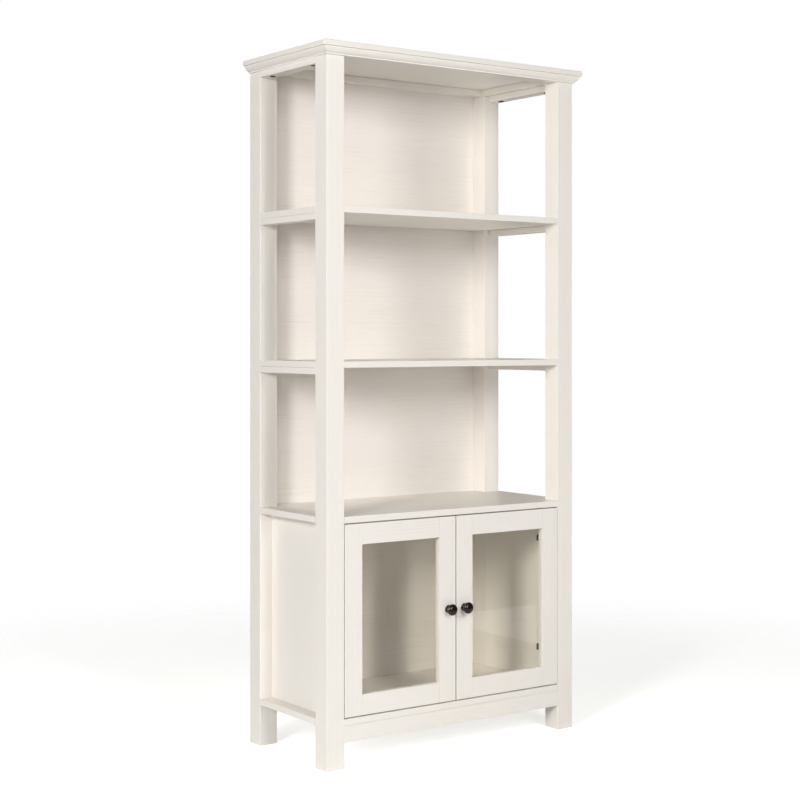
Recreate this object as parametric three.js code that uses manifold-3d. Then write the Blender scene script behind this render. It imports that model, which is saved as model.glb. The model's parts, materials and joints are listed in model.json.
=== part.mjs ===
// Open bookcase over a two-door glazed cabinet.
//
// Four square posts run from the floor to a moulded crown. Two notched shelves, a counter and a
// cabinet floor fit round the posts, and short side rails tie each pair of posts together.
// The cabinet has recessed side panels, a thin back and two inset frame doors with glass.
//
// Millimetres. +X is right seen from the front, +Y is towards the back, +Z is up.
// The origin is on the floor, below the centre of the whole object's box.

import * as THREE from 'three';
import { mergeVertices } from 'three/addons/utils/BufferGeometryUtils.js';
import Module from 'manifold-3d';

const wasm = await Module();
wasm.setup();

// ---------------------------------------------------------------- driving dimensions

const OVERALL_HEIGHT = 1800;
const BODY_WIDTH = 802; // over the posts' outer faces
const BODY_DEPTH = 372; // over the posts' front and rear faces
const POST = 52; // square section
const BOARD = 16; // thickness of every board but the top one
const TOP_BOARD = 14; // thickness
const OVERHANG = 20; // the top board past the posts, at the front and sides
const BACK_ALLOWANCE = 4; // the top board past the rear posts, which hides the back panel's edge
const GAP = 0.3; // between touching pieces

const CROWN_HEIGHT = 18.4;
const CROWN_STEP = 3.5; // from the top board's edge in to the crown's upper lip
const CROWN_LIP = 2.5; // height of the crown's plain upper and lower lips
const CROWN_FOOT = 4.5; // the crown's lower lip past the posts
const CROWN_BACK_WIDTH = 36;

const RAIL_WIDTH = 36; // side rails lie flat under the shelves
const COUNTER_TOP = 625;
const SHELF_PITCH = 385.5;
const CABINET_FLOOR_TOP = 123.5;
const KICK_RAIL_BOTTOM = 66;
const SIDE_PANEL_RECESS = 36; // from the posts' outer faces in to the panel
const BACK_PANEL = 3.4; // thickness
const BACK_PANEL_INSET = 14; // from the posts' outer faces in to the panel's edge

const DOOR_THICKNESS = 18;
const DOOR_MEMBER = 52; // width of stiles and rails
const DOOR_GAP_SIDE = 2;
const DOOR_GAP_END = 3.5; // over and under each door
const DOOR_GAP_MIDDLE = 4;
const REBATE_WIDTH = 8;
const REBATE_DEPTH = 8;
const GLASS = 4; // thickness

const KNOB_RADIUS = 15;
const KNOB_ROSE = 10; // radius of the flared foot
const KNOB_NECK = 5.2; // radius
const KNOB_LENGTH = 27;
const KNOB_SHOULDER = 12.6; // from the foot to where the neck flares into the head
const KNOB_WIDEST = 18; // from the foot to the head's widest ring
const KNOB_FROM_EDGE = 24; // from the door's free edge
const KNOB_SCREW_RADIUS = 2;
const KNOB_SCREW_DEPTH = 9; // into the knob
const SCREW_HEAD_RADIUS = 4.2;
const SCREW_HEAD_HEIGHT = 2.6;
const SCREW_SLOT_WIDTH = 1.2;
const SCREW_SLOT_FLOOR = 1.6; // from the head's underside to the slot's floor

const CUP_RADIUS = 17.5;
const CUP_DEPTH = 11.5;
const CUP_FROM_EDGE = 22.5;
const CUP_WALL = 1.7;
const CUP_FLANGE = 1.4; // thickness
const CUP_RIM = 1.5; // the flange past the bore
const CUP_EARS = { halfWidth: 7, halfLength: 31, screw: 25, screwRadius: 2 };
const HINGE_FROM_END = 89; // from the door's top or bottom edge to a hinge's centre
const HINGE_PLATE_LENGTH = 62;
const HINGE_PLATE_HALF_HEIGHT = 8;
const HINGE_PLATE_THICKNESS = 3;
const HINGE_PLATE_SETBACK = 6; // from the door's back to the plate's front
const HINGE_WING = { halfWidth: 8, halfLength: 22, screw: 16, screwRadius: 2.2 };
const HINGE_ARM_WIDTH = 13;
const HINGE_ARM_HEIGHT = 9; // over the plate
const HINGE_NOSE_REACH = 17; // over the plate, at the arm's curled front end
const HINGE_NOSE_CLEARANCE = 2.6; // from the door's back to the nose
const HINGE_NOSE_THICKNESS = 3.9;
const ADJUSTER_RADIUS = 2.6;

const BOLT_RADIUS = 2.5;
const BOLT_HEAD_RADIUS = 6.8;
const BOLT_HEAD = 3; // height
const BOLT_SOCKET_RADIUS = 2.3;
const BOLT_SOCKET_DEPTH = 2;
const BOLT_COUNTERBORE = 3.6; // depth
const BOLT_INTO_CROWN = 9.9;
const BOLT_FROM_POST = 34;

const CATCH_FROM_DOOR = 2; // from the doors' backs to the catch
const CATCH_WIDTH = 48;
const CATCH_DEPTH = 22;
const CATCH_HEIGHT = 12;
const CATCH_STEP = { side: 6, end: 3, down: 2 }; // the case's lower part, set in from the upper
const CATCH_PEG_RADIUS = 3;
const CATCH_PEG_LENGTH = 8; // into the counter
const STRIKE = { inner: 4, outer: 20, thickness: 1.2, fromTop: 2, height: 12 };

const ROUND_SEGMENTS = 24;
const PAST = 1; // how far a cutting tool goes past the face that it cuts

// ---------------------------------------------------------------- derived places

const KNOB_REACH = GAP + KNOB_LENGTH; // the knobs stand out furthest at the front
const DEPTH = KNOB_REACH + BODY_DEPTH + BACK_ALLOWANCE;
const SIDE = BODY_WIDTH / 2; // x of the posts' outer faces
const INNER = SIDE - POST; // x of the posts' inner faces
const FRONT = -DEPTH / 2 + KNOB_REACH; // y of the posts' front faces
const REAR = FRONT + BODY_DEPTH; // y of the rear posts' rear faces
const BETWEEN_FRONT = FRONT + POST; // the span between a front and a rear post
const BETWEEN_REAR = REAR - POST;

const TOP_UNDERSIDE = OVERALL_HEIGHT - TOP_BOARD;
const CROWN_TOP = TOP_UNDERSIDE - GAP;
const CROWN_BOTTOM = CROWN_TOP - CROWN_HEIGHT;
const POST_TOP = CROWN_BOTTOM - GAP;
const MIDDLE_SHELF_TOP = COUNTER_TOP + SHELF_PITCH;
const UPPER_SHELF_TOP = MIDDLE_SHELF_TOP + SHELF_PITCH;
const COUNTER_BOTTOM = COUNTER_TOP - BOARD;
const CABINET_FLOOR_BOTTOM = CABINET_FLOOR_TOP - BOARD;

const DOOR_BOTTOM = CABINET_FLOOR_TOP + DOOR_GAP_END;
const DOOR_TOP = COUNTER_BOTTOM - DOOR_GAP_END;
const DOOR_BACK = FRONT + DOOR_THICKNESS;
const HINGE_EDGE = INNER - DOOR_GAP_SIDE; // |x| of a door's hinged edge, where its joint's axis runs
const FREE_EDGE = DOOR_GAP_MIDDLE / 2; // |x| of a door's free edge
const HINGE_HEIGHTS = { lower: DOOR_BOTTOM + HINGE_FROM_END, upper: DOOR_TOP - HINGE_FROM_END };
const KNOB_HEIGHT = (DOOR_BOTTOM + DOOR_TOP) / 2;

const TOP_RAIL_BOTTOM = CROWN_BOTTOM - GAP - BOARD;
const BOLT_X = SIDE - RAIL_WIDTH / 2;
const BOLT_PLACES = { front: BETWEEN_FRONT + BOLT_FROM_POST, rear: BETWEEN_REAR - BOLT_FROM_POST };
const BOLT_TOP = CROWN_BOTTOM + BOLT_INTO_CROWN;
const BOLT_HEAD_TOP = TOP_RAIL_BOTTOM + BOLT_COUNTERBORE - GAP;

const PLATE_FRONT = DOOR_BACK + HINGE_PLATE_SETBACK;
const CATCH_FRONT = DOOR_BACK + CATCH_FROM_DOOR;
const CATCH_MIDDLE = CATCH_FRONT + CATCH_DEPTH / 2;

const SIDES = { left: -1, right: 1 };

// ---------------------------------------------------------------- materials

const finishes = {
  laminate: { color: 0xeeece5, roughness: 0.55, metalness: 0 },
  backing: { color: 0xe8e0d4, roughness: 0.7, metalness: 0 },
  glass: { color: 0xdfe8e4, roughness: 0.05, metalness: 0, transparent: true, opacity: 0.3 },
  bronze: { color: 0x2a2421, roughness: 0.35, metalness: 0.8 },
  steel: { color: 0x9b9b98, roughness: 0.35, metalness: 1 },
  dark_steel: { color: 0x3b3a39, roughness: 0.4, metalness: 1 },
  plastic: { color: 0xe9e7e0, roughness: 0.5, metalness: 0 },
};

const bookcase = new THREE.Group();
bookcase.name = 'bookcase';

/** Adds one piece, already in place, with a material of its own. */
function add(name, finish, geometry) {
  const mesh = new THREE.Mesh(geometry, new THREE.MeshStandardMaterial(finishes[finish]));
  mesh.name = name;
  bookcase.add(mesh);
}

// ---------------------------------------------------------------- shape helpers

/** A box between two x, two y and two z values, each pair in any order. */
function box(xs, ys, zs) {
  const size = [xs, ys, zs].map(([a, b]) => Math.abs(b - a));
  const middle = [xs, ys, zs].map(([a, b]) => (a + b) / 2);
  return new THREE.BoxGeometry(...size).translate(...middle);
}

/** A prism with its outline in X and Y, between two heights. */
function upright(outline, bottom, top) {
  const shape = new THREE.Shape(outline.map(([x, y]) => new THREE.Vector2(x, y)));
  const depth = top - bottom;
  return new THREE.ExtrudeGeometry(shape, { depth, bevelEnabled: false }).translate(0, 0, bottom);
}

/** A round rod along Z. */
function rod(radius, x, y, bottom, top) {
  const length = top - bottom;
  const cylinder = new THREE.CylinderGeometry(radius, radius, length, ROUND_SEGMENTS);
  return cylinder.rotateX(Math.PI / 2).translate(x, y, bottom + length / 2);
}

/** A round rod along Y. */
function pin(radius, x, z, front, back) {
  const length = back - front;
  const cylinder = new THREE.CylinderGeometry(radius, radius, length, ROUND_SEGMENTS);
  return cylinder.translate(x, front + length / 2, z);
}

/** A closed geometry as a solid that can be joined and cut. */
function solid(geometry) {
  const bare = geometry.clone();
  bare.deleteAttribute('normal');
  bare.deleteAttribute('uv');
  const merged = mergeVertices(bare, 1e-4);
  return new wasm.Manifold(new wasm.Mesh({
    numProp: 3,
    vertProperties: merged.attributes.position.array,
    triVerts: new Uint32Array(merged.index.array),
  }));
}

/** A solid as a geometry again. */
function surface(body) {
  const mesh = body.getMesh();
  const geometry = new THREE.BufferGeometry();
  geometry.setAttribute('position', new THREE.BufferAttribute(mesh.vertProperties, 3));
  geometry.setIndex(new THREE.BufferAttribute(mesh.triVerts, 1));
  geometry.computeVertexNormals();
  return geometry;
}

/** One geometry less others. */
function cut(body, ...tools) {
  return surface(tools.reduce((rest, tool) => rest.subtract(solid(tool)), solid(body)));
}

/** Several overlapping geometries as one. */
function join(...bodies) {
  return surface(bodies.map(solid).reduce((all, next) => all.add(next)));
}

/** The x values at distances a and b out from the middle, on the side that sign gives. */
function across(sign, a, b) {
  return [sign * a, sign * b];
}

// ---------------------------------------------------------------- posts, boards and rails

function addPosts() {
  for (const [side, sign] of Object.entries(SIDES)) {
    const xs = across(sign, INNER, SIDE);
    add(`post_front_${side}`, 'laminate', box(xs, [FRONT, BETWEEN_FRONT], [0, POST_TOP]));
    add(`post_rear_${side}`, 'laminate', box(xs, [BETWEEN_REAR, REAR], [0, POST_TOP]));
  }
}

/** A full board: a rectangle flush with the posts' outer faces, notched round all four posts. */
function notchedBoard(top) {
  const notchX = INNER - GAP;
  const notchFront = BETWEEN_FRONT + GAP;
  const notchRear = BETWEEN_REAR - GAP;
  const outline = [
    [-notchX, FRONT], [notchX, FRONT], [notchX, notchFront], [SIDE, notchFront],
    [SIDE, notchRear], [notchX, notchRear], [notchX, REAR], [-notchX, REAR],
    [-notchX, notchRear], [-SIDE, notchRear], [-SIDE, notchFront], [-notchX, notchFront],
  ];
  return upright(outline, top - BOARD, top);
}

/** A side rail lying flat between a front and a rear post, flush with their outer faces. */
function sideRail(sign, top) {
  return box(
    across(sign, SIDE - RAIL_WIDTH, SIDE),
    [BETWEEN_FRONT + GAP, BETWEEN_REAR - GAP],
    [top - BOARD, top],
  );
}

function addShelves() {
  const shelves = { upper_shelf: UPPER_SHELF_TOP, middle_shelf: MIDDLE_SHELF_TOP };
  for (const [name, top] of Object.entries(shelves)) {
    add(name, 'laminate', notchedBoard(top));
    for (const [side, sign] of Object.entries(SIDES)) {
      add(`${name}_rail_${side}`, 'laminate', sideRail(sign, top - BOARD - GAP));
    }
  }
}

function addCabinetCase() {
  const underCounter = COUNTER_BOTTOM - GAP;
  add('counter_board', 'laminate', cut(notchedBoard(COUNTER_TOP), catchPegHole()));
  add('cabinet_floor', 'laminate', notchedBoard(CABINET_FLOOR_TOP));
  add('kick_rail', 'laminate', box(
    [-INNER + GAP, INNER - GAP],
    [FRONT, FRONT + BOARD],
    [KICK_RAIL_BOTTOM, CABINET_FLOOR_BOTTOM - GAP],
  ));
  for (const [side, sign] of Object.entries(SIDES)) {
    add(`side_panel_${side}`, 'laminate', box(
      across(sign, INNER, SIDE - SIDE_PANEL_RECESS),
      [BETWEEN_FRONT + GAP, BETWEEN_REAR - GAP],
      [CABINET_FLOOR_TOP + GAP, underCounter],
    ));
  }
}

function addBackPanels() {
  const xs = [-SIDE + BACK_PANEL_INSET, SIDE - BACK_PANEL_INSET];
  const ys = [REAR + GAP, REAR + GAP + BACK_PANEL];
  const seam = COUNTER_TOP - BOARD / 2;
  add('back_panel_lower', 'backing', box(xs, ys, [CABINET_FLOOR_BOTTOM, seam - GAP / 2]));
  add('back_panel_upper', 'backing', box(xs, ys, [seam + GAP / 2, TOP_UNDERSIDE - GAP]));
}

// ---------------------------------------------------------------- crown and top

/** The crown's section, an ovolo between two lips: out from the posts' faces, up from its bottom. */
function crownSection(inner) {
  const lipOut = OVERHANG - CROWN_STEP;
  const ovoloWidth = lipOut - CROWN_FOOT;
  const ovoloHeight = CROWN_HEIGHT - 2 * CROWN_LIP;
  const section = new THREE.Shape();
  section.moveTo(-inner, 0);
  section.lineTo(CROWN_FOOT, 0);
  section.lineTo(CROWN_FOOT, CROWN_LIP);
  section.quadraticCurveTo(
    CROWN_FOOT + ovoloWidth * 0.7, CROWN_LIP + ovoloHeight * 0.3,
    lipOut, CROWN_HEIGHT - CROWN_LIP,
  );
  section.lineTo(lipOut, CROWN_HEIGHT);
  section.lineTo(-inner, CROWN_HEIGHT);
  section.closePath();
  return section;
}

/**
 * The crown's section run along a straight line, each end placed by a function of how far out
 * from the posts a point of the section is. place turns (run, out, up) into a point.
 */
function crownMember(inner, startAt, endAt, place) {
  const options = { depth: 1, bevelEnabled: false, curveSegments: 6 };
  const geometry = new THREE.ExtrudeGeometry(crownSection(inner), options);
  const points = geometry.attributes.position;
  for (let i = 0; i < points.count; i += 1) {
    const out = points.getX(i);
    const up = points.getY(i);
    const run = points.getZ(i) < 0.5 ? startAt(out) : endAt(out);
    points.setXYZ(i, ...place(run, out, up));
  }
  geometry.computeVertexNormals();
  return geometry;
}

function addCrown() {
  const mitre = GAP * 0.5;
  const atRear = () => REAR;
  const atFront = (out) => FRONT - out + mitre;
  add('crown_front', 'laminate', crownMember(
    POST,
    (out) => SIDE + out - mitre,
    (out) => -SIDE - out + mitre,
    (run, out, up) => [run, FRONT - out, CROWN_BOTTOM + up],
  ));
  const left = crownMember(
    POST,
    atFront,
    atRear,
    (run, out, up) => [-SIDE - out, run, CROWN_BOTTOM + up],
  );
  const right = crownMember(
    POST,
    atRear,
    atFront,
    (run, out, up) => [SIDE + out, run, CROWN_BOTTOM + up],
  );
  add('crown_left', 'laminate', cut(left, ...boltHoles(-1)));
  add('crown_right', 'laminate', cut(right, ...boltHoles(1)));
  add('crown_back', 'laminate', box(
    [-INNER + GAP, INNER - GAP],
    [REAR - CROWN_BACK_WIDTH, REAR],
    [CROWN_BOTTOM, CROWN_TOP],
  ));
}

function addTop() {
  add('top_board', 'laminate', box(
    [-SIDE - OVERHANG, SIDE + OVERHANG],
    [FRONT - OVERHANG, REAR + BACK_ALLOWANCE],
    [TOP_UNDERSIDE, OVERALL_HEIGHT],
  ));
}

// ---------------------------------------------------------------- top rails and their bolts

/** Clearance holes for one side's two bolts, through the rail and into the crown. */
function boltHoles(sign) {
  const x = sign * BOLT_X;
  const start = TOP_RAIL_BOTTOM - PAST;
  return Object.values(BOLT_PLACES).flatMap((y) => [
    rod(BOLT_RADIUS + GAP, x, y, start, BOLT_TOP + PAST),
    rod(BOLT_HEAD_RADIUS + GAP, x, y, start, TOP_RAIL_BOTTOM + BOLT_COUNTERBORE),
  ]);
}

/** A bolt with a hex socket in its head, which points down. */
function railBolt(sign, y) {
  const x = sign * BOLT_X;
  const headBottom = BOLT_HEAD_TOP - BOLT_HEAD;
  const bolt = join(
    rod(BOLT_HEAD_RADIUS, x, y, headBottom, BOLT_HEAD_TOP),
    rod(BOLT_RADIUS, x, y, BOLT_HEAD_TOP - PAST, BOLT_TOP),
  );
  const socket = new THREE.CylinderGeometry(
    BOLT_SOCKET_RADIUS, BOLT_SOCKET_RADIUS, 2 * BOLT_SOCKET_DEPTH, 6,
  );
  return cut(bolt, socket.rotateX(Math.PI / 2).translate(x, y, headBottom));
}

function addTopRails() {
  for (const [side, sign] of Object.entries(SIDES)) {
    const rail = sideRail(sign, CROWN_BOTTOM - GAP);
    add(`top_rail_${side}`, 'laminate', cut(rail, ...boltHoles(sign)));
    for (const [end, y] of Object.entries(BOLT_PLACES)) {
      add(`top_rail_bolt_${side}_${end}`, 'dark_steel', railBolt(sign, y));
    }
  }
}

// ---------------------------------------------------------------- doors

/** A piece of the door's rebate for the glass, open to the back. */
function rebate(xs, zs) {
  return box(xs, [DOOR_BACK - REBATE_DEPTH, DOOR_BACK + PAST], zs);
}

/** The hole bored in a stile's back for a hinge's cup. */
function cupBore(sign, height) {
  const x = sign * (HINGE_EDGE - CUP_FROM_EDGE);
  return pin(CUP_RADIUS, x, height, DOOR_BACK - CUP_DEPTH, DOOR_BACK + PAST);
}

/** The turned knob, pointing to the front, with a blind hole for its screw. */
function knob(x) {
  const screwHole = KNOB_SCREW_RADIUS + GAP;
  const holeEnd = KNOB_SCREW_DEPTH + PAST;
  const neckMiddle = KNOB_SHOULDER / 2;
  const profile = new THREE.Path();
  profile.moveTo(screwHole, 0);
  profile.lineTo(KNOB_ROSE - 0.4, 0);
  profile.quadraticCurveTo(KNOB_ROSE + 0.4, 0.6, KNOB_ROSE, 1.8);
  profile.quadraticCurveTo(KNOB_NECK + 0.4, 3.4, KNOB_NECK, neckMiddle);
  profile.quadraticCurveTo(KNOB_NECK, KNOB_SHOULDER - 1.6, KNOB_NECK + 3.3, KNOB_SHOULDER);
  profile.bezierCurveTo(
    KNOB_RADIUS - 1, KNOB_SHOULDER + 1, KNOB_RADIUS, KNOB_WIDEST - 2.6, KNOB_RADIUS, KNOB_WIDEST,
  );
  profile.bezierCurveTo(
    KNOB_RADIUS, KNOB_LENGTH - 4, KNOB_RADIUS * 0.6, KNOB_LENGTH, 0, KNOB_LENGTH,
  );
  profile.lineTo(0, holeEnd);
  profile.lineTo(screwHole, holeEnd);
  profile.closePath();
  const lathe = new THREE.LatheGeometry(profile.getPoints(4), ROUND_SEGMENTS);
  return surface(solid(lathe.rotateX(Math.PI).translate(x, FRONT - GAP, KNOB_HEIGHT)));
}

/** A slotted pan-head screw from the door's back into the knob. */
function knobScrew(x) {
  const head = new THREE.Path();
  head.moveTo(0, 0);
  head.lineTo(SCREW_HEAD_RADIUS, 0);
  head.quadraticCurveTo(SCREW_HEAD_RADIUS, SCREW_HEAD_HEIGHT - 0.2, 0, SCREW_HEAD_HEIGHT);
  const dome = new THREE.LatheGeometry(head.getPoints(4), ROUND_SEGMENTS);
  const slot = box(
    [-SCREW_SLOT_WIDTH / 2, SCREW_SLOT_WIDTH / 2],
    [SCREW_SLOT_FLOOR, SCREW_HEAD_HEIGHT + PAST],
    [-SCREW_HEAD_RADIUS * 0.7, SCREW_HEAD_RADIUS * 0.7],
  );
  const body = join(
    dome.translate(0, GAP, 0),
    pin(KNOB_SCREW_RADIUS, 0, 0, -DOOR_THICKNESS - KNOB_SCREW_DEPTH, GAP + 0.5),
  );
  return cut(body, slot).translate(x, DOOR_BACK, KNOB_HEIGHT);
}

function addDoor(side, sign) {
  const hingeEdge = sign * HINGE_EDGE;
  const freeEdge = sign * FREE_EDGE;
  const hingeInner = sign * (HINGE_EDGE - DOOR_MEMBER);
  const freeInner = sign * (FREE_EDGE + DOOR_MEMBER);
  const glassBottom = DOOR_BOTTOM + DOOR_MEMBER;
  const glassTop = DOOR_TOP - DOOR_MEMBER;
  const thick = [FRONT, DOOR_BACK];
  const name = (piece) => `door_${side}_${piece}`;

  // The glass's space, which takes the rebate from all four members.
  const paneXs = [hingeInner + sign * REBATE_WIDTH, freeInner - sign * REBATE_WIDTH];
  const paneZs = [glassBottom - REBATE_WIDTH, glassTop + REBATE_WIDTH];
  const paneSpace = rebate(paneXs, paneZs);

  const knobX = freeEdge + sign * KNOB_FROM_EDGE;
  const knobHole = pin(
    KNOB_SCREW_RADIUS + GAP, knobX, KNOB_HEIGHT, FRONT - PAST, DOOR_BACK + PAST,
  );
  const cupBores = Object.values(HINGE_HEIGHTS).map((height) => cupBore(sign, height));

  const hingeStile = box([hingeEdge, hingeInner], thick, [DOOR_BOTTOM, DOOR_TOP]);
  const meetingStile = box([freeEdge, freeInner], thick, [DOOR_BOTTOM, DOOR_TOP]);
  add(name('hinge_stile'), 'laminate', cut(hingeStile, paneSpace, ...cupBores));
  add(name('meeting_stile'), 'laminate', cut(meetingStile, paneSpace, knobHole));

  const railXs = [hingeInner - sign * GAP, freeInner + sign * GAP];
  const topRail = box(railXs, thick, [glassTop, DOOR_TOP]);
  const bottomRail = box(railXs, thick, [DOOR_BOTTOM, glassBottom]);
  add(name('top_rail'), 'laminate', cut(topRail, paneSpace));
  add(name('bottom_rail'), 'laminate', cut(bottomRail, paneSpace));

  const inset = (pair, by) => {
    const towards = Math.sign(pair[1] - pair[0]);
    return [pair[0] + towards * by, pair[1] - towards * by];
  };
  const glassFront = DOOR_BACK - REBATE_DEPTH + GAP;
  const beadFront = glassFront + GLASS + GAP;
  const bead = box(inset(paneXs, GAP), [beadFront, DOOR_BACK], inset(paneZs, GAP));
  const beadHole = box(
    [hingeInner, freeInner],
    [beadFront - PAST, DOOR_BACK + PAST],
    [glassBottom, glassTop],
  );
  const glass = box(inset(paneXs, GAP), [glassFront, glassFront + GLASS], inset(paneZs, GAP));
  add(name('glass'), 'glass', glass);
  add(name('glass_bead'), 'laminate', cut(bead, beadHole));

  add(name('knob'), 'bronze', knob(knobX));
  add(name('knob_screw'), 'steel', knobScrew(knobX));
}

// ---------------------------------------------------------------- concealed hinges

/** The half that is bored into the door: a hollow cup under a flange with two screw ears. */
function hingeCup(sign, height) {
  const x = sign * (HINGE_EDGE - CUP_FROM_EDGE);
  const bottom = DOOR_BACK - CUP_DEPTH + GAP;
  const flange = [DOOR_BACK + GAP, DOOR_BACK + GAP + CUP_FLANGE];
  const through = [flange[0] - PAST, flange[1] + PAST];
  const { halfWidth, halfLength, screw, screwRadius } = CUP_EARS;
  const cup = join(
    pin(CUP_RADIUS - GAP, x, height, bottom, flange[1]),
    pin(CUP_RADIUS + CUP_RIM, x, height, ...flange),
    box([x - halfWidth, x + halfWidth], flange, [height - halfLength, height + halfLength]),
  );
  return cut(
    cup,
    pin(CUP_RADIUS - GAP - CUP_WALL, x, height, bottom + CUP_WALL, flange[1] + PAST),
    pin(screwRadius, x, height - screw, ...through),
    pin(screwRadius, x, height + screw, ...through),
  );
}

/** The plate screwed to the side panel, with a wing above and below for its screws. */
function hingePlate(sign, height) {
  const xs = across(sign, INNER - GAP - HINGE_PLATE_THICKNESS, INNER - GAP);
  const screwY = PLATE_FRONT + HINGE_PLATE_LENGTH * 0.6;
  const { halfWidth, halfLength, screw, screwRadius } = HINGE_WING;
  const around = (half) => [height - half, height + half];
  const plate = join(
    box(xs, [PLATE_FRONT, PLATE_FRONT + HINGE_PLATE_LENGTH], around(HINGE_PLATE_HALF_HEIGHT)),
    box(xs, [screwY - halfWidth, screwY + halfWidth], around(halfLength)),
  );
  const drill = new THREE.CylinderGeometry(screwRadius, screwRadius, POST, 16);
  drill.rotateZ(Math.PI / 2).translate(sign * INNER, screwY, height);
  const holes = [-screw, screw].map((up) => drill.clone().translate(0, 0, up));
  return cut(plate, ...holes);
}

/** The arm over the plate, whose nose curves in and forward to the cup. */
function hingeArm(sign, height) {
  const seat = INNER - HINGE_PLATE_THICKNESS - 2 * GAP;
  const rear = PLATE_FRONT + HINGE_PLATE_LENGTH - 4;
  const noseFront = DOOR_BACK + HINGE_NOSE_CLEARANCE;
  const noseBack = noseFront + HINGE_NOSE_THICKNESS;
  const crest = HINGE_ARM_HEIGHT + 1;
  // Points of the outline, as a distance in from the plate and a place along the arm.
  const at = (reach, y) => [sign * (seat - reach), y];
  const outline = new THREE.Shape();
  outline.moveTo(...at(0, rear));
  outline.lineTo(...at(HINGE_ARM_HEIGHT, rear - 6));
  outline.lineTo(...at(crest, PLATE_FRONT + 10));
  outline.quadraticCurveTo(...at(crest + 0.5, noseBack + 0.5), ...at(HINGE_NOSE_REACH, noseBack));
  outline.lineTo(...at(HINGE_NOSE_REACH, noseFront));
  outline.quadraticCurveTo(...at(6, noseFront), ...at(4, PLATE_FRONT));
  outline.lineTo(...at(0, PLATE_FRONT));
  outline.closePath();
  const half = HINGE_ARM_WIDTH / 2;
  const options = { depth: HINGE_ARM_WIDTH, bevelEnabled: false, curveSegments: 5 };
  const arm = new THREE.ExtrudeGeometry(outline, options).translate(0, 0, height - half);
  const drill = new THREE.CylinderGeometry(ADJUSTER_RADIUS, ADJUSTER_RADIUS, 6, 16);
  drill.rotateZ(Math.PI / 2);
  const recess = (y) => drill.clone().translate(...at(crest + 0.5, y), height);
  return cut(arm, recess(rear - 16), recess(PLATE_FRONT + 22));
}

function addHinges() {
  for (const [side, sign] of Object.entries(SIDES)) {
    for (const [level, height] of Object.entries(HINGE_HEIGHTS)) {
      const name = (piece) => `hinge_${piece}_${side}_${level}`;
      add(name('cup'), 'dark_steel', hingeCup(sign, height));
      add(name('plate'), 'dark_steel', hingePlate(sign, height));
      add(name('arm'), 'dark_steel', hingeArm(sign, height));
    }
  }
}

// ---------------------------------------------------------------- magnetic catch

/** The blind hole in the counter's underside for the catch's fixing peg. */
function catchPegHole() {
  const top = COUNTER_BOTTOM + CATCH_PEG_LENGTH + GAP;
  return rod(CATCH_PEG_RADIUS + GAP, 0, CATCH_MIDDLE, COUNTER_BOTTOM - PAST, top);
}

function addCatch() {
  const top = COUNTER_BOTTOM - GAP;
  const half = CATCH_WIDTH / 2;
  const { side: sideStep, end: endStep, down } = CATCH_STEP;
  const ys = [CATCH_FRONT, CATCH_FRONT + CATCH_DEPTH];
  add('magnetic_catch', 'plastic', join(
    box([-half, half], ys, [top - CATCH_HEIGHT, top]),
    box(
      [-half + sideStep, half - sideStep],
      [ys[0] + endStep, ys[1] - endStep],
      [top - CATCH_HEIGHT - down, top],
    ),
    rod(CATCH_PEG_RADIUS, 0, CATCH_MIDDLE, top - PAST, COUNTER_BOTTOM + CATCH_PEG_LENGTH),
  ));
  const strikeTop = DOOR_TOP - STRIKE.fromTop;
  for (const [side, sign] of Object.entries(SIDES)) {
    add(`catch_strike_${side}`, 'steel', box(
      across(sign, STRIKE.inner, STRIKE.outer),
      [DOOR_BACK + GAP, DOOR_BACK + GAP + STRIKE.thickness],
      [strikeTop - STRIKE.height, strikeTop],
    ));
  }
}

// ---------------------------------------------------------------- assembly

addPosts();
addShelves();
addCabinetCase();
addBackPanels();
addCrown();
addTop();
addTopRails();
for (const [side, sign] of Object.entries(SIDES)) {
  addDoor(side, sign);
}
addHinges();
addCatch();

export default bookcase;
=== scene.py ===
"""A white bookcase: three open bays over a low cabinet with two framed glass doors.

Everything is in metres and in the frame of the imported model: +X right seen from the front, +Y back, +Z up.
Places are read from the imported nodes. Sizes of small parts that the model doesn't hold are named below.
"""

import json
import math
from fnmatch import fnmatch

import bmesh
import bpy
from mathutils import Matrix, Vector
from mathutils.geometry import interpolate_bezier


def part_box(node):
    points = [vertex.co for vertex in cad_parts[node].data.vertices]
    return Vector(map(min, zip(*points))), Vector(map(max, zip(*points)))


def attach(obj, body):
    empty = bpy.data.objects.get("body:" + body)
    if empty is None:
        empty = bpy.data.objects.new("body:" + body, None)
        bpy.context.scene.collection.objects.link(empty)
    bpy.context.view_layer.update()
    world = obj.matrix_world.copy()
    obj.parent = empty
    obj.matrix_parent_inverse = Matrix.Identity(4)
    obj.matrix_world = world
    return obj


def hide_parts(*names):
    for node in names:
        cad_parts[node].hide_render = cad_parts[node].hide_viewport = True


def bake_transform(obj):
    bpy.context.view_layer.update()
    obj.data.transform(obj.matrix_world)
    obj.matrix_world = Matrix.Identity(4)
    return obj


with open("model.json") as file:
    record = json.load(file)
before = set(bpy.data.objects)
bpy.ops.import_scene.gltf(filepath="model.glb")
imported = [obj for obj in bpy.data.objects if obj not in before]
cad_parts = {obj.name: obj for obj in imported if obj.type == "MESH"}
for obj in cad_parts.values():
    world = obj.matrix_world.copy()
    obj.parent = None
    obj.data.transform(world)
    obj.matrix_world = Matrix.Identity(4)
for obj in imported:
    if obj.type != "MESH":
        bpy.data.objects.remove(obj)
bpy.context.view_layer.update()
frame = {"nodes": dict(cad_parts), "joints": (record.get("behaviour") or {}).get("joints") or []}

MM = 0.001
SIDES = {"left": -1, "right": 1}
LEVELS = ("lower", "upper")
ALONG = {"X": 0, "Y": 1, "Z": 2}

# ---------------------------------------------------------------- camera, light and floor

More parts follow.
